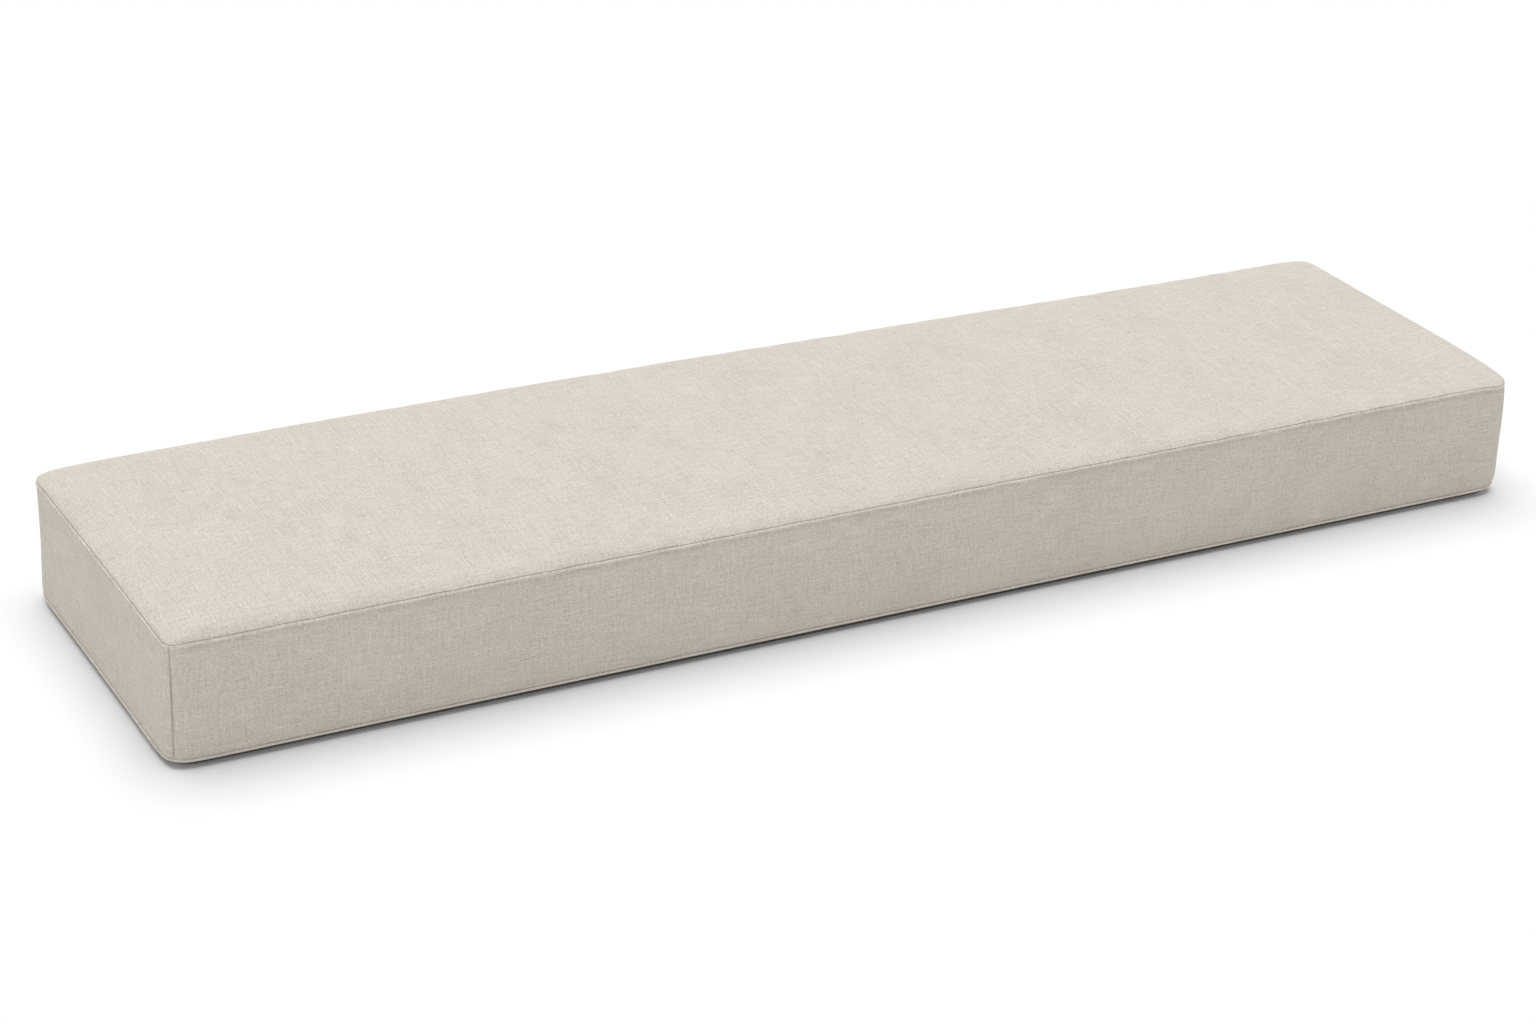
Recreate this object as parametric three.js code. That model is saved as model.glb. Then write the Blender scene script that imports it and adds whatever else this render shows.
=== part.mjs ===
// A boxed cushion for a window seat: one filled solid under a sewn cover. A top and a bottom
// panel meet four boxing strips in knife seams, with no piping, and the strips meet each
// other in an upright seam at each corner.
// Millimetres. The origin is the middle of the flat base, +X runs along the cushion, +Y to
// its back and +Z up.

import * as THREE from "three";
import { mergeVertices } from "three/addons/utils/BufferGeometryUtils.js";

// The outline at the seams, where the cushion is widest.
const LENGTH = 1829;
const DEPTH = 457;
const CORNER_RADIUS = 24;

// Each strip is drawn in a little between its corners, more on the long sides.
const LONG_SIDE_HOLLOW = 2;
const END_HOLLOW = 1;

// Heights of the seams that join the strips to the bottom and the top panel.
const BOTTOM_SEAM = 14;
const TOP_SEAM = 156;

// A seam is a channel in the filled form.
const SEAM_DEPTH = 2;
const SEAM_HALF_WIDTH = 3.5;
const CORNER_SEAM_DEPTH = 1.5;

// The top panel rolls up from its seam within the edge's reach, higher halfway along the
// cushion than at its ends, and then crowns gently to the middle. Both fall off towards the
// ends by this power of the distance.
const EDGE_REACH = 34;
const EDGE_RISE_AT_ENDS = 10;
const EDGE_RISE_AT_MIDDLE = 16;
const CROWN_RISE = 7;
const ALONG_POWER = 3;

// How finely each stretch is divided.
const LONG_SIDE_STEPS = 48;
const END_STEPS = 12;
const CORNER_STEPS = 8;
const EDGE_STEPS = 6;
const CROWN_STEPS = 5;

// The rows of the bottom panel from its flat base out to its lip, which hangs clear of the
// floor: how far each stands in from the outline, and its height.
const UNDERSIDE_ROWS = [
  { place: "rim of the base", inset: 26, height: 0 },
  { place: "slack of the panel", inset: 14, height: 3.2 },
  { place: "edge of the filling", inset: 5, height: 6.8 },
  { place: "turn of the lip", inset: 1, height: 9 },
  { place: "lip", inset: 0, height: 11 },
];

// The rows of the boxing from one seam up to the other: height above the floor, how far the
// cloth stands in from the outline, and how deep the corner seams are cut there.
const BOXING_ROWS = [
  { place: "bottom seam", height: BOTTOM_SEAM, inset: SEAM_DEPTH, cornerSeam: 0 },
  { place: "lower lip", height: BOTTOM_SEAM + SEAM_HALF_WIDTH, inset: 0, cornerSeam: CORNER_SEAM_DEPTH },
  { place: "lower part", height: 46, inset: 0.6, cornerSeam: CORNER_SEAM_DEPTH },
  { place: "middle", height: 83, inset: 1, cornerSeam: CORNER_SEAM_DEPTH },
  { place: "upper part", height: 120, inset: 0.6, cornerSeam: CORNER_SEAM_DEPTH },
  { place: "upper lip", height: TOP_SEAM - SEAM_HALF_WIDTH, inset: 0, cornerSeam: CORNER_SEAM_DEPTH },
  { place: "top seam", height: TOP_SEAM, inset: SEAM_DEPTH, cornerSeam: 0 },
];

// Soft troughs in the top panel, where the cloth has settled on its filling: the middle of
// each, its half length, half width and depth, and its turn in degrees from +X.
const TROUGHS = [
  { x: -690, y: 40, halfLength: 150, halfWidth: 60, turn: 20, depth: 1.1 },
  { x: -410, y: -70, halfLength: 170, halfWidth: 55, turn: -12, depth: 1.0 },
  { x: -60, y: 105, halfLength: 180, halfWidth: 45, turn: 24, depth: 1.4 },
  { x: 170, y: -55, halfLength: 160, halfWidth: 60, turn: 8, depth: 0.9 },
  { x: 430, y: 90, halfLength: 150, halfWidth: 50, turn: -30, depth: 1.2 },
  { x: 770, y: 20, halfLength: 130, halfWidth: 45, turn: -10, depth: 1.3 },
];

const COVER_CLOTH = new THREE.MeshStandardMaterial({
  color: 0xd6cec1,
  roughness: 0.93,
  metalness: 0,
});

// The line down the middle of the cushion that every ring of its skin shrinks towards.
const SPINE_END = (LENGTH - DEPTH) / 2;

// One point of the outline, drawn in by the hollow of its side. cornerSeam marks the upright
// seam in the middle of a corner.
function outlinePoint(x, y, hollow, cornerSeam) {
  const spineX = THREE.MathUtils.clamp(x, -SPINE_END, SPINE_END);
  const kept = 1 - hollow / Math.hypot(x - spineX, y);
  return { x: spineX + (x - spineX) * kept, y: y * kept, spineX, cornerSeam };
}

// The points of a straight side, from just past one corner to just before the next.
function sidePoints(from, to, steps, hollow) {
  return Array.from({ length: steps - 1 }, (_, i) => {
    const share = (i + 1) / steps;
    const bow = hollow * Math.sin(Math.PI * share);
    return outlinePoint(
      THREE.MathUtils.lerp(from.x, to.x, share),
      THREE.MathUtils.lerp(from.y, to.y, share),
      bow,
      false,
    );
  });
}

// The points of a rounded corner, which starts at an angle in degrees and turns a quarter.
function cornerPoints(signX, signY, startAngle) {
  const centreX = signX * (LENGTH / 2 - CORNER_RADIUS);
  const centreY = signY * (DEPTH / 2 - CORNER_RADIUS);
  return Array.from({ length: CORNER_STEPS + 1 }, (_, i) => {
    const angle = THREE.MathUtils.degToRad(startAngle + (90 * i) / CORNER_STEPS);
    return outlinePoint(
      centreX + CORNER_RADIUS * Math.cos(angle),
      centreY + CORNER_RADIUS * Math.sin(angle),
      0,
      i === CORNER_STEPS / 2,
    );
  });
}

// Once round the cushion, anticlockwise from above, starting at the front left corner.
function walkRound() {
  const frontLeft = cornerPoints(-1, -1, 180);
  const frontRight = cornerPoints(1, -1, 270);
  const backRight = cornerPoints(1, 1, 0);
  const backLeft = cornerPoints(-1, 1, 90);
  return [
    ...frontLeft,
    ...sidePoints(frontLeft.at(-1), frontRight[0], LONG_SIDE_STEPS, LONG_SIDE_HOLLOW),
    ...frontRight,
    ...sidePoints(frontRight.at(-1), backRight[0], END_STEPS, END_HOLLOW),
    ...backRight,
    ...sidePoints(backRight.at(-1), backLeft[0], LONG_SIDE_STEPS, LONG_SIDE_HOLLOW),
    ...backLeft,
    ...sidePoints(backLeft.at(-1), frontLeft[0], END_STEPS, END_HOLLOW),
  ];
}

// How far the troughs lower the top at a place.
function troughDepth(x, y) {
  return TROUGHS.reduce((sum, trough) => {
    const turn = THREE.MathUtils.degToRad(trough.turn);
    const along = (x - trough.x) * Math.cos(turn) + (y - trough.y) * Math.sin(turn);
    const across = (y - trough.y) * Math.cos(turn) - (x - trough.x) * Math.sin(turn);
    const away = (along / trough.halfLength) ** 2 + (across / trough.halfWidth) ** 2;
    return sum + trough.depth * Math.exp(-away);
  }, 0);
}

// The height of the top panel at a place that lies a given distance in from the seam.
function topHeight(x, y, inset) {
  const along = Math.abs(x) / (LENGTH / 2);
  const across = Math.abs(y) / (DEPTH / 2);
  const edge = Math.min(inset / EDGE_REACH, 1);
  const roll = Math.sqrt(1 - (1 - edge) ** 2);
  const rise = THREE.MathUtils.lerp(EDGE_RISE_AT_MIDDLE, EDGE_RISE_AT_ENDS, along ** ALONG_POWER);
  const crown = CROWN_RISE * (1 - along ** ALONG_POWER) * (1 - across ** 2);
  return TOP_SEAM + roll * (rise - troughDepth(x, y)) + crown;
}

// The skin is a stack of rings, from the rim of the base up to the middle of the top.
function makeRings(outline) {
  const ring = (inset, cornerSeam, heightAt) =>
    outline.map((point) => {
      const cut = point.cornerSeam ? cornerSeam : 0;
      const kept = 1 - (inset + cut) / (DEPTH / 2);
      const x = point.spineX + (point.x - point.spineX) * kept;
      const y = point.y * kept;
      return [x, y, heightAt(x, y)];
    });

  const rings = [];
  for (const row of UNDERSIDE_ROWS) {
    rings.push(ring(row.inset, 0, () => row.height));
  }
  for (const row of BOXING_ROWS) {
    rings.push(ring(row.inset, row.cornerSeam, () => row.height));
  }
  for (let i = 1; i <= EDGE_STEPS; i++) {
    const inset = EDGE_REACH * (1 - Math.cos((Math.PI / 2) * (i / EDGE_STEPS)));
    rings.push(ring(inset, 0, (x, y) => topHeight(x, y, inset)));
  }
  for (let i = 1; i < CROWN_STEPS; i++) {
    const inset = THREE.MathUtils.lerp(EDGE_REACH, DEPTH / 2, i / CROWN_STEPS);
    rings.push(ring(inset, 0, (x, y) => topHeight(x, y, inset)));
  }
  return rings;
}

// Joins the rings into one closed skin, and closes the base and the top onto the spine.
function cushionGeometry() {
  const outline = walkRound();
  const count = outline.length;
  const positions = [];
  const triangles = [];

  const rings = makeRings(outline).map((points) => {
    const first = positions.length / 3;
    positions.push(...points.flat());
    return first;
  });

  for (let r = 1; r < rings.length; r++) {
    for (let i = 0; i < count; i++) {
      const next = (i + 1) % count;
      const [low, high] = [rings[r - 1], rings[r]];
      triangles.push(low + i, low + next, high + next, low + i, high + next, high + i);
    }
  }

  const close = (ringStart, heightAt, facesUp) => {
    const spine = outline.map((point) => {
      positions.push(point.spineX, 0, heightAt(point.spineX));
      return positions.length / 3 - 1;
    });
    for (let i = 0; i < count; i++) {
      const next = (i + 1) % count;
      const [a, b] = facesUp ? [i, next] : [next, i];
      triangles.push(ringStart + a, ringStart + b, spine[b]);
      if (outline[a].spineX !== outline[b].spineX) {
        triangles.push(ringStart + a, spine[b], spine[a]);
      }
    }
  };
  close(rings[0], () => 0, false);
  close(rings.at(-1), (x) => topHeight(x, 0, DEPTH / 2), true);

  const geometry = new THREE.BufferGeometry();
  geometry.setAttribute("position", new THREE.Float32BufferAttribute(positions, 3));
  geometry.setIndex(triangles);
  const skin = mergeVertices(geometry, 1e-3);
  skin.computeVertexNormals();
  return skin;
}

function makeCushion() {
  const cushion = new THREE.Mesh(cushionGeometry(), COVER_CLOTH);
  cushion.name = "cushion";
  return cushion;
}

const windowSeatCushion = new THREE.Group();
windowSeatCushion.add(makeCushion());

export default windowSeatCushion;
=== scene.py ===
import math

import bmesh
import bpy
import numpy as np
from mathutils import Matrix, Vector


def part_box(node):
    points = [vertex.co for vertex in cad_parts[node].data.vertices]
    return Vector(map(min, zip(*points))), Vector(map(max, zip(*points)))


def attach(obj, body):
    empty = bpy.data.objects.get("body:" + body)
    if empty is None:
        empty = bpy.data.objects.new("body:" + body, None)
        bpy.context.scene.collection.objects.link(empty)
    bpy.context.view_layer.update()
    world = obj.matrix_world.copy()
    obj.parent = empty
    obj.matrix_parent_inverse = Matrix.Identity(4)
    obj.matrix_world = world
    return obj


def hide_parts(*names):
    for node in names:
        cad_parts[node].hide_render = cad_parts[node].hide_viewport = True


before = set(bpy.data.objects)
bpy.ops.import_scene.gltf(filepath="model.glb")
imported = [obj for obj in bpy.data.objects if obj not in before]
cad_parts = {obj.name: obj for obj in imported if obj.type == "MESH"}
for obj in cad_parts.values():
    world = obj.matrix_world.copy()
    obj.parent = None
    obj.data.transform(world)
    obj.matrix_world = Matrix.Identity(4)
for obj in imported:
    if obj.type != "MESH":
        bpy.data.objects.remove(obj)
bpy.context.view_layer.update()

# The camera: in front of the cushion and left of its middle, looking down on it with a long
# lens. It leans a little, so that the long edges climb to the right.
camera_turn = math.radians(-30.15)
camera_climb = math.radians(25.58)
camera_lean = math.radians(3.27)
camera_distance = 4.155
camera_aside = -0.0525
camera_raised = 0.035

back = Vector((
    math.sin(camera_turn) * math.cos(camera_climb),
    -math.cos(camera_turn) * math.cos(camera_climb),
    math.sin(camera_climb),
))
right = Vector((math.cos(camera_turn), math.sin(camera_turn), 0))
up = back.cross(right)
lean = Matrix.Rotation(camera_lean, 3, back)
right, up = lean @ right, lean @ up
bpy.ops.object.camera_add(
    location=back * camera_distance + right * camera_aside + up * camera_raised,
    rotation=Matrix((right, up, back)).transposed().to_euler(),
)
camera = bpy.context.object
camera.data.lens = 78.24
camera.data.sensor_width = 36
bpy.context.scene.camera = camera

# The cover: six flat panels of one cloth, cut straight and sewn edge to edge. A block stands
# for the sewn bag before it is filled: each face is a panel and each edge is a seam. It is cut
# finely beside the seams, where the cloth turns, and coarsely in between.
low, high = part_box("cushion")
half_length = (high.x - low.x) / 2
half_depth = (high.y - low.y) / 2
bottom_seam = 0.0115
top_seam = 0.156
strip_height = top_seam - bottom_seam

bpy.ops.object.select_all(action="DESELECT")
bpy.ops.mesh.primitive_cube_add(
    size=2,
    location=(0, 0, (bottom_seam + top_seam) / 2),
    scale=(half_length, half_depth, strip_height / 2),
)
cover = bpy.context.object
cover.name = "cushion_cover"
bpy.ops.object.transform_apply(location=True, rotation=False, scale=True)

rows_beside_seams = (
    {"axis": 0, "distances": (0.0016, 0.004, 0.009, 0.016, 0.025)},
    {"axis": 1, "distances": (0.0016, 0.004, 0.009, 0.016, 0.024, 0.034)},
    {"axis": 2, "distances": (0.0014, 0.0028, 0.0044, 0.0062, 0.0082, 0.011, 0.016)},
)
block_low = (-half_length, -half_depth, bottom_seam)
block_high = (half_length, half_depth, top_seam)
bpy.ops.object.mode_set(mode="EDIT")
bpy.ops.mesh.select_all(action="SELECT")
bpy.ops.mesh.mark_seam()
bpy.ops.transform.edge_crease(value=1)
for rows in rows_beside_seams:
    axis = rows["axis"]
    across = [0, 0, 0]
    across[axis] = 1
    for distance in rows["distances"]:
        for place in (block_low[axis] + distance, block_high[axis] - distance):
            point = [0, 0, 0]
            point[axis] = place
            bpy.ops.mesh.select_all(action="SELECT")
            bpy.ops.mesh.bisect(plane_co=point, plane_no=across)

coarse_cells = (
    {"axis": 0, "steps": (2, 81)},
    {"axis": 1, "steps": (28,)},
    {"axis": 2, "steps": (10,)},
)
wide_stretch = 0.05
for cells in coarse_cells:
    for steps in cells["steps"]:
        bm = bmesh.from_edit_mesh(cover.data)
        for edge in bm.edges:
            start, end = edge.verts
            edge.select_set(abs(start.co[cells["axis"]] - end.co[cells["axis"]]) > wide_stretch)
        bmesh.update_edit_mesh(cover.data)
        bpy.ops.mesh.subdivide(number_cuts=steps - 1)
bpy.ops.object.mode_set(mode="OBJECT")

# Each panel keeps its own flat measure in metres as its UV map, so that the weave runs true on
# it and stops at the seam. The measure follows the cloth: round the corners on the strips, and
# over the rolled edge on the top. U runs with the thick weft threads, which lie along the
# strips and across the depth of the top and the bottom.
corner_radius_at_bottom = 0.024
middle_radius = 0.021
edge_reach = 0.034
edge_rise_at_ends = 0.010
edge_rise_at_middle = 0.016
roll_samples = 91
roll_turns = np.linspace(0, math.pi / 2, roll_samples)
roll_steps = np.hypot(
    np.diff(edge_reach * (1 - np.cos(roll_turns))),
    np.diff((edge_rise_at_ends + edge_rise_at_middle) / 2 * np.sin(roll_turns)),
)
roll_travel = np.concatenate(([0], np.cumsum(roll_steps)))
roll_length = roll_travel[-1]


def along_strip(place, half):
    past = np.clip((abs(place) - half) / middle_radius + 1, 0, 1)
    flat = np.minimum(abs(place), half - middle_radius)
    return np.sign(place) * (flat + middle_radius * np.arcsin(past / math.sqrt(2)))


def across_top(place, half):
    past = np.clip((abs(place) - half) / edge_reach + 1, 0, 1)
    flat = np.minimum(abs(place), half - edge_reach)
    return np.sign(place) * (flat + roll_length * past)


panel_gap = 3.0
panels = (
    {"name": "top", "normal": (0, 0, 1)},
    {"name": "bottom", "normal": (0, 0, -1)},
    {"name": "front strip", "normal": (0, -1, 0)},
    {"name": "back strip", "normal": (0, 1, 0)},
    {"name": "left strip", "normal": (-1, 0, 0)},
    {"name": "right strip", "normal": (1, 0, 0)},
)
panel_numbers = {panel["name"]: number for number, panel in enumerate(panels)}
facing_alike = 0.5
corners_of_a_face = 4
mesh = cover.data
corner_count = len(mesh.loops)
face_normals = np.empty(len(mesh.polygons) * 3)
mesh.polygons.foreach_get("normal", face_normals)
face_normals = np.repeat(face_normals.reshape(-1, 3), corners_of_a_face, axis=0)
corner_points = np.empty(corner_count, dtype=np.int32)
mesh.loops.foreach_get("vertex_index", corner_points)
block = np.empty(len(mesh.vertices) * 3)
mesh.vertices.foreach_get("co", block)
block = block.reshape(-1, 3)
x, y, z = block[corner_points].T
measure = np.zeros((corner_count, 2))
for number, panel in enumerate(panels):
    on_panel = face_normals @ np.array(panel["normal"]) > facing_alike
    if panel["normal"][2]:
        u, v = across_top(y, half_depth), across_top(x, half_length)
    elif panel["normal"][1]:
        u, v = along_strip(x, half_length), z
    else:
        u, v = along_strip(y, half_depth), z
    measure[on_panel, 0] = u[on_panel] + panel_gap * number
    measure[on_panel, 1] = v[on_panel]
mesh.uv_layers.new(name="cloth measure")
mesh.uv_layers["cloth measure"].data.foreach_set("uv", measure.ravel())

# Filling the bag turns the block into a cushion: its corners round off, the strips are drawn
# in, the top rolls up from its seam and crowns, and the bottom turns under to a flat base.
side_hollow = 0.002
end_hollow = 0.001
strip_hollow = 0.001
crown_at_start = 0.0035
end_roll_reach = 0.055
end_roll_power = 0.62
front_roll_power = 5.5
front_rise_at_middle = 0.0070
front_rise_at_ends = 0.0068
back_rise_at_middle = 0.017
back_rise_at_ends = 0.011
fullness_power = 3

# The top seam isn't sewn quite level: how far it stands above its height along the cushion.
# It waves finely as well, in two sines that repeat at different lengths.
seam_stray = {
    "x": (-0.9145, -0.55, 0, 0.4, 0.75, 0.87, 0.9145),
    "up": (-0.0032, -0.0016, -0.0004, 0.0010, 0.0034, 0.0048, 0.0034),
}
sewing_wave = 0.0003
sewing_wave_run = 0.0090
slower_wave_run = 0.0143

# No two corners are filled alike. Each has its own roundness at the top, and some are drawn in
# or sunk there, have their seam pulled down, or are turned up a little at the foot. Each of
# these fades over its own reach.
corners = (
    {"side": -1, "front": -1, "radius_at_top": 0.014, "drawn_in": 0,
     "sunk": 0, "sunk_reach": 0.050, "seam_dip": 0, "lifted": 0.001},
    {"side": 1, "front": -1, "radius_at_top": 0.028, "drawn_in": 0.0095,
     "sunk": 0.0070, "sunk_reach": 0.055, "seam_dip": 0.0050, "lifted": 0.0038},
    {"side": 1, "front": 1, "radius_at_top": 0.020, "drawn_in": 0,
     "sunk": 0.0042, "sunk_reach": 0.035, "seam_dip": 0, "lifted": 0.003},
    {"side": -1, "front": 1, "radius_at_top": 0.020, "drawn_in": 0,
     "sunk": 0.0075, "sunk_reach": 0.030, "seam_dip": 0, "lifted": 0.003},
)
drawn_in_reach = 0.052
seam_dip_reach = 0.050
drawn_in_power = 5
lifted_reach = 0.020
lifted_height = 0.006

# Towards its back the top is fuller left of the middle than right of it.
back_swell = {
    "x": (-0.9145, -0.6, -0.3, 0, 0.3, 0.5, 0.75, 0.87, 0.9145),
    "up": (0, 0.0026, 0.0036, 0.0031, 0.0008, -0.0010, -0.0013, -0.0024, -0.0010),
}

# The bottom panel drops a little from its seam to a lip, and runs in from there to the base.
lip_height = 0.0088
lip_drop = 0.0027
base_inset = 0.048
underside_reach = 0.051
underside_power = 1.1

# Soft troughs in the top, where the cloth has settled on its filling, and after them four
# narrow creases. The turn is in degrees.
troughs = (
    {"x": -0.690, "y": 0.040, "half_length": 0.150, "half_width": 0.060, "turn": 20, "depth": 0.0011},
    {"x": -0.410, "y": -0.070, "half_length": 0.170, "half_width": 0.055, "turn": -12, "depth": 0.0010},
    {"x": -0.060, "y": 0.105, "half_length": 0.180, "half_width": 0.045, "turn": 24, "depth": 0.0014},
    {"x": 0.170, "y": -0.055, "half_length": 0.160, "half_width": 0.060, "turn": 8, "depth": 0.0009},
    {"x": 0.430, "y": 0.090, "half_length": 0.150, "half_width": 0.050, "turn": -30, "depth": 0.0012},
    {"x": 0.770, "y": 0.020, "half_length": 0.130, "half_width": 0.045, "turn": -10, "depth": 0.0013},
    {"x": 0.780, "y": 0.032, "half_length": 0.090, "half_width": 0.013, "turn": 8, "depth": 0.0014},
    {"x": 0.840, "y": -0.120, "half_length": 0.060, "half_width": 0.012, "turn": -38, "depth": 0.0012},
    {"x": -0.040, "y": 0.135, "half_length": 0.085, "half_width": 0.014, "turn": -30, "depth": 0.0012},
    {"x": -0.330, "y": -0.110, "half_length": 0.070, "half_width": 0.014, "turn": 55, "depth": 0.0010},
)


def soft_least(first, second):
    sharpness = 4
    smallest = 1e-6
    first, second = np.maximum(first, smallest), np.maximum(second, smallest)
    return np.maximum(first ** -sharpness + second ** -sharpness - 1, 1) ** (-1 / sharpness)


def trough_depth(x, y):
    depth = np.zeros_like(x)
    for trough in troughs:
        turn = math.radians(trough["turn"])
        along = (x - trough["x"]) * math.cos(turn) + (y - trough["y"]) * math.sin(turn)
        across = (y - trough["y"]) * math.cos(turn) - (x - trough["x"]) * math.sin(turn)
        away = (along / trough["half_length"]) ** 2 + (across / trough["half_width"]) ** 2
        depth += trough["depth"] * np.exp(-away)
    return depth


def rolled_inset(distance, turn):
    return np.where(distance < edge_reach, edge_reach * (1 - np.cos(turn)), distance)


def under_inset(distance):
    turned = np.clip((distance - lip_drop) / (underside_reach - lip_drop), 0, 1)
    return np.where(distance < underside_reach, base_inset * turned, distance)


x, y, z = block.T.copy()
tiny = 1e-5
on_top = z > top_seam - tiny
underneath = z < bottom_seam + tiny
from_end = half_length - abs(x)
from_side = half_depth - abs(y)

# The top's rolled edge and the bottom's turned-under edge take cloth in from the outline.
end_turn = np.interp(from_end / edge_reach * roll_length, roll_travel, roll_turns)
side_turn = np.interp(from_side / edge_reach * roll_length, roll_travel, roll_turns)
end_fullness = np.sin(np.pi / 2 * np.clip(from_end / end_roll_reach, 0, 1) ** end_roll_power)
side_fullness = np.where(y < 0, 1 - np.cos(side_turn) ** front_roll_power, np.sin(side_turn))
top_fullness = soft_least(end_fullness, side_fullness)
end_shift = (rolled_inset(from_end, end_turn) - from_end) * np.sin(side_turn)
side_shift = (rolled_inset(from_side, side_turn) - from_side) * np.sin(end_turn)
under_ends = np.clip(from_end / underside_reach, 0, 1)
under_sides = np.clip(from_side / underside_reach, 0, 1)
under_end_shift = (under_inset(from_end) - from_end) * under_sides
under_side_shift = (under_inset(from_side) - from_side) * under_ends
from_end = from_end + np.where(on_top, end_shift, 0) + np.where(underneath, under_end_shift, 0)
from_side = from_side + np.where(on_top, side_shift, 0) + np.where(underneath, under_side_shift, 0)

# The corners round off.
share_up = np.clip((z - bottom_seam) / strip_height, 0, 1)
corner_radius = np.full_like(x, corner_radius_at_bottom)
for corner in corners:
    at_corner = (x * corner["side"] > 0) & (y * corner["front"] > 0)
    gained_at_top = corner["radius_at_top"] - corner_radius_at_bottom
    corner_radius += np.where(at_corner, gained_at_top * share_up, 0)
straight_x = half_length - corner_radius
straight_y = half_depth - corner_radius
into_x = np.clip((half_length - from_end - straight_x) / corner_radius, 0, 1)
into_y = np.clip((half_depth - from_side - straight_y) / corner_radius, 0, 1)
rounded_x = straight_x + corner_radius * into_x * np.sqrt(1 - into_y ** 2 / 2)
rounded_y = straight_y + corner_radius * into_y * np.sqrt(1 - into_x ** 2 / 2)
reach_x = np.where(into_x > 0, rounded_x, half_length - from_end)
reach_y = np.where(into_y > 0, rounded_y, half_depth - from_side)

# The long strips and the end strips are drawn in between the corners, and all at mid height.
waist = np.sin(np.pi * share_up)
middle_x = np.cos(np.pi / 2 * np.clip(reach_x / straight_x, 0, 1))
middle_y = np.cos(np.pi / 2 * np.clip(reach_y / straight_y, 0, 1))
reach_x -= end_hollow * middle_y * reach_x / half_length + strip_hollow * waist * (into_x > 0)
reach_y -= side_hollow * middle_x * reach_y / half_depth + strip_hollow * waist * (into_y > 0)
x, y = np.sign(x) * reach_x, np.sign(y) * reach_y

# Each corner pulls at the cloth around it, and the top seam strays from its height.
sunk = np.zeros_like(x)
lifted = np.zeros_like(x)
seam_wave = sewing_wave * (np.sin(x / sewing_wave_run) + np.sin(x / slower_wave_run) / 2)
seam_shift = np.interp(x, seam_stray["x"], seam_stray["up"]) + seam_wave
for corner in corners:
    away = np.hypot(x - corner["side"] * half_length, y - corner["front"] * half_depth)
    sunk += corner["sunk"] * np.exp(-away / corner["sunk_reach"])
    seam_shift -= corner["seam_dip"] * np.exp(-away / seam_dip_reach)
    x = x - corner["side"] * corner["drawn_in"] * np.exp(-away / drawn_in_reach) * share_up ** drawn_in_power
    turned_up = corner["lifted"] * np.exp(-(away / lifted_reach) ** 2 - (z - bottom_seam) / lifted_height)
    lifted += turned_up
    x = x - corner["side"] * turned_up
    y = y - corner["front"] * turned_up

# The top rises from its seam over the rolled edge to the crown, less its troughs, and the
# bottom drops from its seam to the lip and runs in to the base.
along = abs(x) / half_length
across = abs(y) / half_depth
backwards = (y / half_depth + 1) / 2
rise_at_middle = front_rise_at_middle + (back_rise_at_middle - front_rise_at_middle) * backwards
rise_at_ends = front_rise_at_ends + (back_rise_at_ends - front_rise_at_ends) * backwards
edge_rise = rise_at_middle + (rise_at_ends - rise_at_middle) * along ** fullness_power
crown = crown_at_start * (1 - along ** fullness_power) * (1 - across ** 2)
crown += np.interp(x, back_swell["x"], back_swell["up"]) * backwards ** 2 - sunk
top_height = top_seam + seam_shift + top_fullness * (edge_rise - trough_depth(x, y) + crown - seam_shift)
under_turned = soft_least(under_ends, under_sides)
lip_part = np.clip(under_turned * underside_reach / lip_drop, 0, 1)
under_part = np.clip((under_turned * underside_reach - lip_drop) / (underside_reach - lip_drop), 0, 1)
from_seam_to_lip = (lip_height - bottom_seam) * lip_part
from_lip_to_base = lip_height * under_part ** underside_power
under_height = bottom_seam + from_seam_to_lip - from_lip_to_base
side_height = z + seam_shift * share_up
z = np.where(on_top, top_height, np.where(underneath, under_height, side_height) + lifted)
formed = np.stack([x, y, z], axis=1)
mesh.vertices.foreach_set("co", formed.ravel())
mesh.update()

# The filling: foam in a soft wrap, a little too big for its cover, so that it presses the
# cloth out between the seams. The seams and the base hold still, the cloth between them is cut
# slightly too large and settles, and only a share of its movement is kept, because firm foam
# gives less than air would.
top_fill = 0.006
strip_fill = 0.0012
cloth_growth = 0.004
settling_frames = 20


def points_of(mesh):
    points = np.empty(len(mesh.vertices) * 3)
    mesh.vertices.foreach_get("co", points)
    return points.reshape(-1, 3)


def fill_cover():
    held = cover.vertex_groups.new(name="held")
    sewn = {point for edge in mesh.edges if edge.use_seam for point in edge.vertices}
    resting = np.nonzero(formed[:, 2] < tiny)[0].tolist()
    held.add(sorted(sewn | set(resting)), 1, "REPLACE")
    filling = cover.modifiers.new("filling", "CLOTH")
    filling.settings.vertex_group_mass = held.name
    filling.settings.use_pressure = True
    filling.settings.uniform_pressure_force = 0.3
    filling.settings.tension_stiffness = 80
    filling.settings.compression_stiffness = 80
    filling.settings.bending_stiffness = 10
    filling.settings.shrink_min = -cloth_growth
    filling.settings.effector_weights.gravity = 0
    filling.collision_settings.use_collision = False
    filling.point_cache.frame_end = settling_frames
    for frame_number in range(1, settling_frames + 1):
        bpy.context.scene.frame_set(frame_number)
    settled = points_of(cover.evaluated_get(bpy.context.evaluated_depsgraph_get()).data)
    cover.modifiers.remove(filling)
    cover.vertex_groups.remove(held)
    bpy.context.scene.frame_set(1)
    return settled - formed


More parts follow.
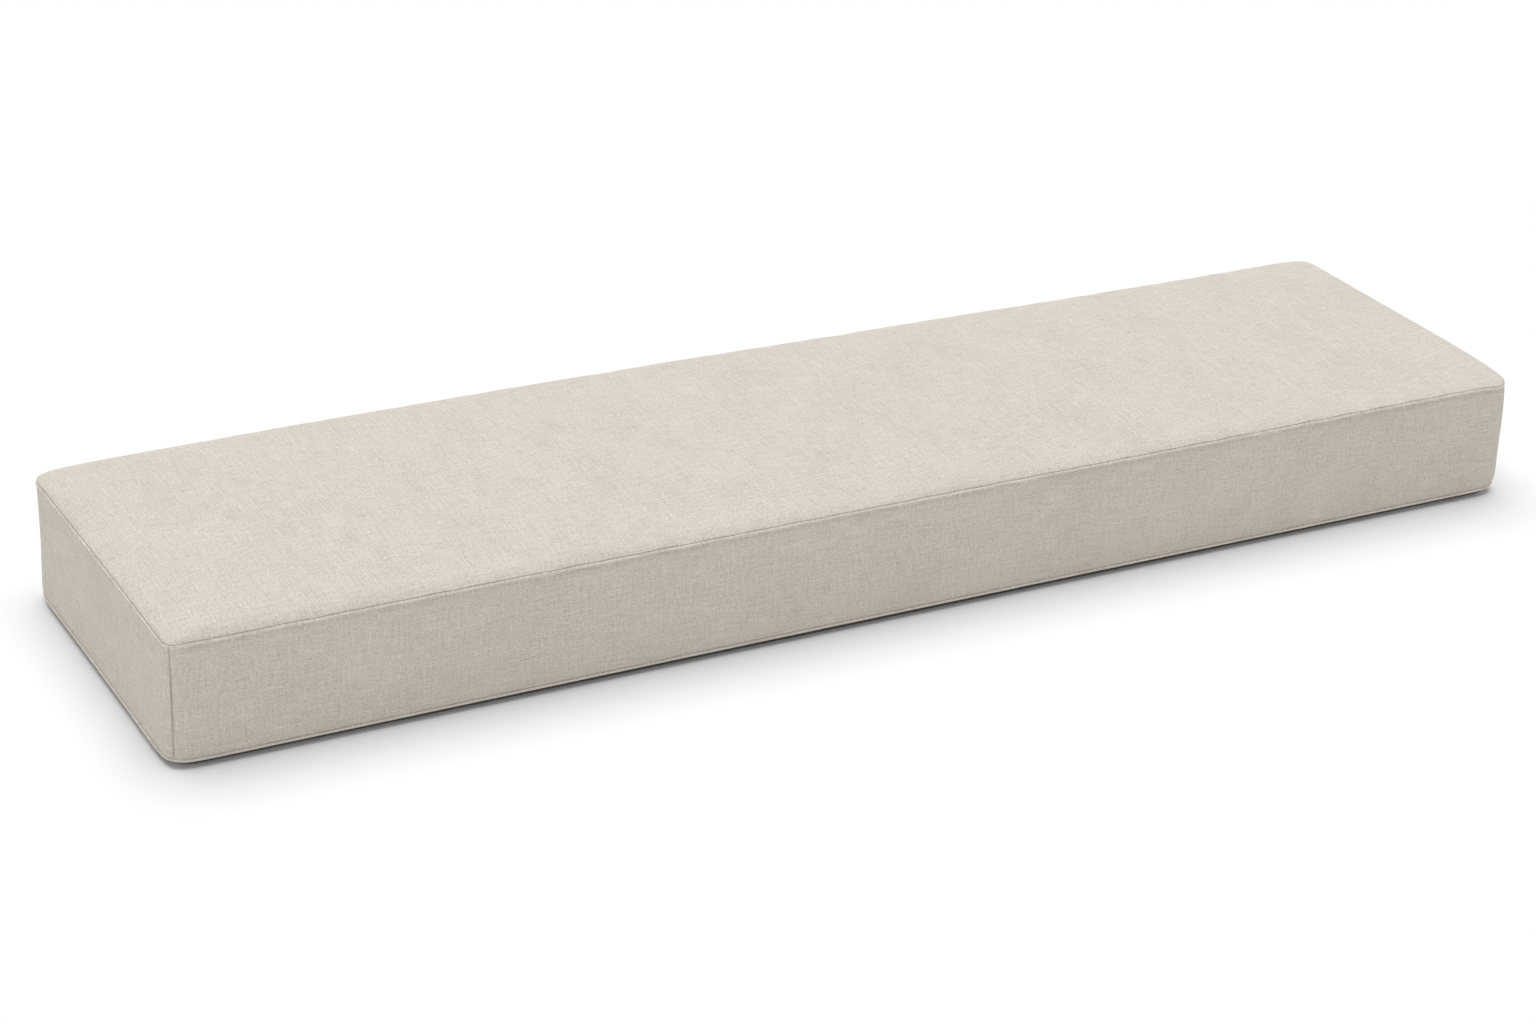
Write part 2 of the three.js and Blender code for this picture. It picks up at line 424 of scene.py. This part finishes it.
moved = fill_cover()
allowed = np.where(on_top, top_fill, strip_fill)
for part in (on_top, ~on_top):
    moved[part] *= (allowed[part] / np.linalg.norm(moved[part], axis=1).max())[:, None]
mesh.vertices.foreach_set("co", (formed + moved).ravel())

bpy.ops.object.select_all(action="DESELECT")
cover.select_set(True)
bpy.context.view_layer.objects.active = cover
smoothing = cover.modifiers.new("smoothing", "SUBSURF")
smoothing.levels = smoothing.render_levels = 1
smoothing.uv_smooth = "NONE"
bpy.ops.object.modifier_apply(modifier=smoothing.name)

# The seams: each is sewn from the back, so it pulls the cloth into a narrow groove. On the
# strips its turned-back edges press out as a fine ridge beside the groove, then as a faint
# line where they end. Each table goes outwards from the seam: distance and height of the cloth.
strip_side_of_top_seam = (
    (0, -0.0011), (0.0007, -0.0003), (0.0014, 0.0008), (0.0021, 0.0015),
    (0.0028, 0.0015), (0.0036, 0.0008), (0.0044, -0.0002), (0.0053, -0.0008),
    (0.0062, -0.0007), (0.0072, -0.0005), (0.0082, -0.0003), (0.0120, 0),
)
end_side_of_top_seam = (
    (0, -0.0015), (0.0007, -0.0004), (0.0014, 0.0011), (0.0021, 0.0012), (0.0028, 0.0006), (0.0040, 0),
)
panel_side_of_top_seam = ((0, -0.0011), (0.0008, -0.0003), (0.0016, 0), (0.008, 0))
strip_side_of_bottom_seam = (
    (0, -0.0012), (0.0007, -0.0007), (0.0014, -0.0002), (0.0022, 0), (0.0032, 0), (0.0044, -0.0002),
    (0.0055, -0.0001), (0.0070, 0),
)
panel_side_of_bottom_seam = (
    (0, -0.0012), (0.0008, 0.0010), (0.0016, 0.0019), (0.0028, 0.0018), (0.0040, 0.0008), (0.0060, 0),
)
side_of_corner_seam = ((0, -0.0022), (0.0008, -0.0008), (0.0016, 0.0002), (0.0028, 0.0002), (0.0042, 0))

# The long seams are flatter near the upright ones, and the upright ones stop short of them.
relief_at_corners = 0.5
relief_fade_reach = 0.012
corner_seam_stop = 0.001
corner_seam_fade = 0.003


def seam_height(table, distance):
    distances, heights = zip(*table)
    return np.interp(distance, distances, heights)


mesh = cover.data
points = points_of(mesh)
normals = np.empty(len(mesh.vertices) * 3)
mesh.vertices.foreach_get("normal", normals)
normals = normals.reshape(-1, 3)
corner_points = np.empty(len(mesh.loops), dtype=np.int32)
mesh.loops.foreach_get("vertex_index", corner_points)
measure = np.empty(len(mesh.loops) * 2)
mesh.uv_layers["cloth measure"].data.foreach_get("uv", measure)
measure = measure.reshape(-1, 2)
place = np.empty((len(points), 2))
place[corner_points] = measure
panel_number = np.round(place[:, 0] / panel_gap).astype(int)
u = place[:, 0] - panel_gap * panel_number
v = place[:, 1]

is_top = panel_number == panel_numbers["top"]
is_bottom = panel_number == panel_numbers["bottom"]
is_strip = ~(is_top | is_bottom)
is_end_strip = np.isin(panel_number, (panel_numbers["left strip"], panel_numbers["right strip"]))
strip_half_length = along_strip(np.array(half_length), half_length)
strip_half_depth = along_strip(np.array(half_depth), half_depth)
top_half_depth = across_top(np.array(half_depth), half_depth)
top_half_length = across_top(np.array(half_length), half_length)
to_panel_edge = np.minimum(top_half_depth - abs(u), top_half_length - abs(v))
to_corner_seam = np.maximum(np.where(is_end_strip, strip_half_depth, strip_half_length) - abs(u), 0)
below_top_seam = np.where(
    is_end_strip,
    seam_height(end_side_of_top_seam, top_seam - v),
    seam_height(strip_side_of_top_seam, top_seam - v),
)
raised = np.select(
    [is_top, is_bottom],
    [
        seam_height(panel_side_of_top_seam, to_panel_edge),
        seam_height(panel_side_of_bottom_seam, to_panel_edge),
    ],
    seam_height(strip_side_of_bottom_seam, v - bottom_seam) + below_top_seam,
)
away_from_corners = np.clip(to_corner_seam / relief_fade_reach, 0, 1)
raised *= np.where(is_strip, relief_at_corners + (1 - relief_at_corners) * away_from_corners, 1)
to_long_seam = np.minimum(top_seam - v, v - bottom_seam)
clear_of_long_seams = np.clip((to_long_seam - corner_seam_stop) / corner_seam_fade, 0, 1)
raised += np.where(is_strip, seam_height(side_of_corner_seam, to_corner_seam) * clear_of_long_seams, 0)
mesh.vertices.foreach_set("co", (points + normals * raised[:, None]).ravel())
mesh.update()

# Painted light at the seams: the ridges are painted paler, a painted highlight,
# and the grooves are painted darker, painted shade.
ridge_height = 0.001
mesh.attributes.new("painted_seam_light", "FLOAT", "POINT").data.foreach_set(
    "value", (raised / ridge_height).astype(np.float32)
)

# Where a seam is drawn tight, the cloth beside it puckers: "pucker_along_weft" says how much it
# does so at each point beside the long edges of the panels, "pucker_along_warp" beside the rest.
pucker_reach_on_panels = 0.013
pucker_reach_on_strips = 0.006

beside_long_edge = np.exp(-(top_half_depth - abs(u)) / pucker_reach_on_panels)
beside_end_edge = np.exp(-(top_half_length - abs(v)) / pucker_reach_on_panels)
beside_strip_edge = np.exp(-to_long_seam / pucker_reach_on_strips)
puckers = {
    "pucker_along_weft": np.where(is_strip, 0, beside_long_edge),
    "pucker_along_warp": np.where(is_strip, beside_strip_edge, beside_end_edge),
}
for name, amounts in puckers.items():
    mesh.attributes.new(name, "FLOAT", "POINT").data.foreach_set("value", amounts.astype(np.float32))

bpy.ops.object.shade_smooth_by_angle(angle=math.radians(40))

cloth = bpy.data.materials.new("cover cloth")
cloth.use_nodes = True
nodes, links = cloth.node_tree.nodes, cloth.node_tree.links
shader = nodes["Principled BSDF"]
shader.inputs["Roughness"].default_value = 0.93
shader.inputs["Specular IOR Level"].default_value = 0.2
dark_thread = (0.607, 0.556, 0.487, 1)
light_thread = (0.807, 0.749, 0.674, 1)
cool_fibre = (0.993, 1.0, 1.010, 1)
warm_fibre = (1.007, 1.0, 0.990, 1)

# The weave: thick weft threads with long slubs, thinner upright threads with short ones, both
# of uneven tone. The tables give, in metres, how far a streak runs with its thread and how wide
# it is, and how much it counts in the tone and in the height of the cloth.
streaks = (
    {"name": "grain", "run": 0.0034, "width": 0.0024, "with_weft": True, "tone": 0.33, "height": 0.25},
    {"name": "weft", "run": 0.045, "width": 0.0017, "with_weft": True, "tone": 0.20, "height": 0.25},
    {"name": "warp", "run": 0.030, "width": 0.0024, "with_weft": False, "tone": 0.18, "height": 0.25},
    {"name": "fibre", "run": 0.0022, "width": 0.0011, "with_weft": False, "tone": 0.30, "height": 0.25},
    {"name": "blotches", "run": 0.026, "width": 0.014, "with_weft": True, "tone": 0.03, "height": 0},
    {"name": "shading", "run": 0.120, "width": 0.080, "with_weft": True, "tone": 0.08, "height": 0},
)
slubs = (
    {"name": "weft slubs", "run": 0.050, "width": 0.0015, "with_weft": True, "tone": 0.54, "height": 0.6},
    {"name": "warp slubs", "run": 0.028, "width": 0.0016, "with_weft": False, "tone": 0.40, "height": 0.6},
)
puckering = (
    {"name": "pucker_along_weft", "run": 0.050, "width": 0.008, "with_weft": True, "height": 5.0},
    {"name": "pucker_along_warp", "run": 0.050, "width": 0.009, "with_weft": False, "height": 5.0},
)
slub_from = 0.64
slub_full = 0.72
weave_depth = 0.0004
# Painted light at the seams: how much paler the ridges are painted (a painted highlight), how much darker
# the grooves (painted shade), and in what uneven patches.
painted_seam_light_tone = 0.115
painted_seam_light_patches = {"name": "painted_seam_light_patches", "run": 0.008, "width": 0.060, "with_weft": True, "tone": 0.16}
tint = {"name": "warm and cool fibres", "run": 0.007, "width": 0.004, "with_weft": True}

# Noise keeps near its middle, so it is spread before it counts in the tone. Each streak starts
# at its own place in the noise, so that no two are alike.
noise_middle = 0.5
noise_spread = 4
tint_spread = 2.5
start_apart = 31.7
painted_seam_light_start = 517.9
tint_start = 401.3


def calculate(operation, *terms):
    made = nodes.new("ShaderNodeMath")
    made.operation = operation
    for socket, term in zip(made.inputs, terms):
        if isinstance(term, (int, float)):
            socket.default_value = term
        else:
            links.new(term, socket)
    return made.outputs["Value"]


def streak(row, start):
    along_thread, across_thread = (weft_way, warp_way) if row["with_weft"] else (warp_way, weft_way)
    spot = nodes.new("ShaderNodeCombineXYZ")
    links.new(calculate("MULTIPLY_ADD", along_thread, 1 / row["run"], start), spot.inputs["X"])
    links.new(calculate("MULTIPLY_ADD", across_thread, 1 / row["width"], start), spot.inputs["Y"])
    texture = nodes.new("ShaderNodeTexNoise")
    texture.label = row["name"]
    texture.noise_dimensions = "2D"
    texture.inputs["Scale"].default_value = 1
    texture.inputs["Detail"].default_value = 1.5
    links.new(spot.outputs["Vector"], texture.inputs["Vector"])
    return texture.outputs["Fac"]


measure_map = nodes.new("ShaderNodeUVMap")
measure_map.uv_map = "cloth measure"
ways = nodes.new("ShaderNodeSeparateXYZ")
links.new(measure_map.outputs["UV"], ways.inputs["Vector"])
weft_way, warp_way = ways.outputs["X"], ways.outputs["Y"]
tone, relief = noise_middle, 0.0
for number, row in enumerate(streaks):
    uneven = calculate("SUBTRACT", streak(row, start_apart * number), noise_middle)
    tone = calculate("MULTIPLY_ADD", uneven, row["tone"] * noise_spread, tone)
    if row["height"]:
        relief = calculate("MULTIPLY_ADD", uneven, row["height"], relief)
for number, row in enumerate(slubs, len(streaks)):
    shown = nodes.new("ShaderNodeMapRange")
    shown.interpolation_type = "SMOOTHSTEP"
    shown.inputs["From Min"].default_value = slub_from
    shown.inputs["From Max"].default_value = slub_full
    links.new(streak(row, start_apart * number), shown.inputs["Value"])
    tone = calculate("MULTIPLY_ADD", shown.outputs["Result"], row["tone"], tone)
    relief = calculate("MULTIPLY_ADD", shown.outputs["Result"], row["height"], relief)

for number, row in enumerate(puckering, len(streaks) + len(slubs)):
    amount = nodes.new("ShaderNodeAttribute")
    amount.attribute_name = row["name"]
    uneven = calculate("SUBTRACT", streak(row, start_apart * number), noise_middle)
    pulled = calculate("MULTIPLY", uneven, amount.outputs["Fac"])
    relief = calculate("MULTIPLY_ADD", pulled, row["height"], relief)

# Painted highlight on the seam ridges and painted shade in the seam grooves, in uneven patches.
painted_seam_light = nodes.new("ShaderNodeAttribute")
painted_seam_light.attribute_name = "painted_seam_light"
painted_seam_light_spread = painted_seam_light_patches["tone"] * noise_spread
painted_seam_light_least = painted_seam_light_tone - painted_seam_light_spread * noise_middle
painted_seam_light_amount = calculate("MULTIPLY_ADD", streak(painted_seam_light_patches, painted_seam_light_start), painted_seam_light_spread, painted_seam_light_least)
tone = calculate("MULTIPLY_ADD", painted_seam_light.outputs["Fac"], painted_seam_light_amount, tone)

dye = nodes.new("ShaderNodeMix")
dye.data_type = "RGBA"
dye.clamp_factor = False
dye.inputs["A"].default_value = dark_thread
dye.inputs["B"].default_value = light_thread
links.new(tone, dye.inputs["Factor"])
fibre_tint = nodes.new("ShaderNodeMix")
fibre_tint.data_type = "RGBA"
fibre_tint.inputs["A"].default_value = cool_fibre
fibre_tint.inputs["B"].default_value = warm_fibre
tint_amount = calculate("SUBTRACT", streak(tint, tint_start), noise_middle)
tint_share = calculate("MULTIPLY_ADD", tint_amount, tint_spread, noise_middle)
links.new(tint_share, fibre_tint.inputs["Factor"])
tinted = nodes.new("ShaderNodeMix")
tinted.data_type = "RGBA"
tinted.blend_type = "MULTIPLY"
tinted.inputs["Factor"].default_value = 1
links.new(dye.outputs["Result"], tinted.inputs["A"])
links.new(fibre_tint.outputs["Result"], tinted.inputs["B"])
links.new(tinted.outputs["Result"], shader.inputs["Base Color"])
bump = nodes.new("ShaderNodeBump")
bump.inputs["Distance"].default_value = weave_depth
links.new(relief, bump.inputs["Height"])
links.new(bump.outputs["Normal"], shader.inputs["Normal"])
cover.data.materials.clear()
cover.data.materials.append(cloth)

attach(cover, "root")
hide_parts("cushion")

# The studio: a plain pale floor under an even sky, with one very wide soft lamp overhead that
# leans a little to the back. Seen by the camera, the floor and the sky are white. Under the
# cushion the floor is painted dark: it returns hardly any light there, painted shade, and seen
# by the camera it is grey from a little inside the cushion's outline inwards, a painted contact
# shadow, so that the thin gap stays dark.
floor_size = 24
sky_strength = 0.408
overhead_strength = 0.617 * math.pi
overhead_width = math.radians(58)
overhead_lean_left = math.radians(0.5)
overhead_lean_back = math.radians(9)
floor_grey = 0.96
# Painted shade: the floor under the cushion is nearly black to the light that bounces, and seen by the
# camera it is grey from a little inside the outline inwards, a painted contact shadow.
painted_shade_grey_under_cushion = 0.03
painted_contact_shadow_grey = (0.40, 0.42, 0.45, 1)
painted_contact_shadow_inset = 0.010
outline_rounding = 0.036
floor_white = (0.975, 0.985, 1.0, 1)


def seen_directly():
    path = nodes.new("ShaderNodeLightPath")
    seen = path.outputs["Is Camera Ray"]
    for ray in ("Is Glossy Ray", "Is Transmission Ray"):
        seen = calculate("MAXIMUM", seen, path.outputs[ray])
    return seen


bpy.ops.mesh.primitive_plane_add(size=floor_size)
floor = bpy.context.object
floor.name = "floor"
paint = bpy.data.materials.new("floor paint")
paint.use_nodes = True
nodes, links = paint.node_tree.nodes, paint.node_tree.links
position = nodes.new("ShaderNodeTexCoord")
position_parts = nodes.new("ShaderNodeSeparateXYZ")
links.new(position.outputs["Object"], position_parts.inputs["Vector"])

# How far each point of the floor lies out from a box inside the cushion's outline. At the
# distance of the outline's rounding it lies on that outline.
beyond = []
for way, half in (("X", half_length), ("Y", half_depth)):
    from_middle = calculate("ABSOLUTE", position_parts.outputs[way])
    aside = calculate("MAXIMUM", calculate("SUBTRACT", from_middle, half - outline_rounding), 0)
    beyond.append(calculate("MULTIPLY", aside, aside))
outward = calculate("SQRT", calculate("ADD", beyond[0], beyond[1]))
# Masks of the painted shade under the cushion and of the painted contact shadow inside its outline.
painted_shade_under_cushion = calculate("LESS_THAN", outward, outline_rounding)
painted_contact_shadow_zone = calculate("LESS_THAN", outward, outline_rounding - painted_contact_shadow_inset)

# What the floor gives back to the light that bounces: nearly nothing under the cushion, painted shade.
bounce_grey_with_painted_shade = nodes.new("ShaderNodeMix")
bounce_grey_with_painted_shade.data_type = "RGBA"
bounce_grey_with_painted_shade.inputs["A"].default_value = (floor_grey, floor_grey, floor_grey, 1)
bounce_grey_with_painted_shade.inputs["B"].default_value = (painted_shade_grey_under_cushion, painted_shade_grey_under_cushion, painted_shade_grey_under_cushion, 1)
links.new(painted_shade_under_cushion, bounce_grey_with_painted_shade.inputs["Factor"])
# What the camera sees: white, and grey from a little inside the outline inwards, a painted contact shadow.
shown = nodes.new("ShaderNodeMix")
shown.data_type = "RGBA"
shown.inputs["A"].default_value = floor_white
shown.inputs["B"].default_value = painted_contact_shadow_grey
links.new(painted_contact_shadow_zone, shown.inputs["Factor"])
tone = nodes.new("ShaderNodeMix")
tone.data_type = "RGBA"
links.new(bounce_grey_with_painted_shade.outputs["Result"], tone.inputs["A"])
links.new(shown.outputs["Result"], tone.inputs["B"])
links.new(seen_directly(), tone.inputs["Factor"])
matt = nodes["Principled BSDF"]
matt.inputs["Roughness"].default_value = 1
matt.inputs["Specular IOR Level"].default_value = 0
links.new(tone.outputs["Result"], matt.inputs["Base Color"])
floor.data.materials.append(paint)

sky = bpy.data.worlds.new("studio sky")
sky.use_nodes = True
nodes, links = sky.node_tree.nodes, sky.node_tree.links
glow = nodes["Background"]
glow.inputs["Color"].default_value = (1, 1, 1, 1)
level = nodes.new("ShaderNodeMix")
level.inputs["A"].default_value = sky_strength
level.inputs["B"].default_value = 1
links.new(seen_directly(), level.inputs["Factor"])
links.new(level.outputs["Result"], glow.inputs["Strength"])
bpy.context.scene.world = sky

bpy.ops.object.light_add(type="SUN", rotation=(-overhead_lean_back, -overhead_lean_left, 0))
overhead = bpy.context.object
overhead.data.energy = overhead_strength
overhead.data.angle = overhead_width

bpy.context.scene.view_settings.view_transform = "Standard"
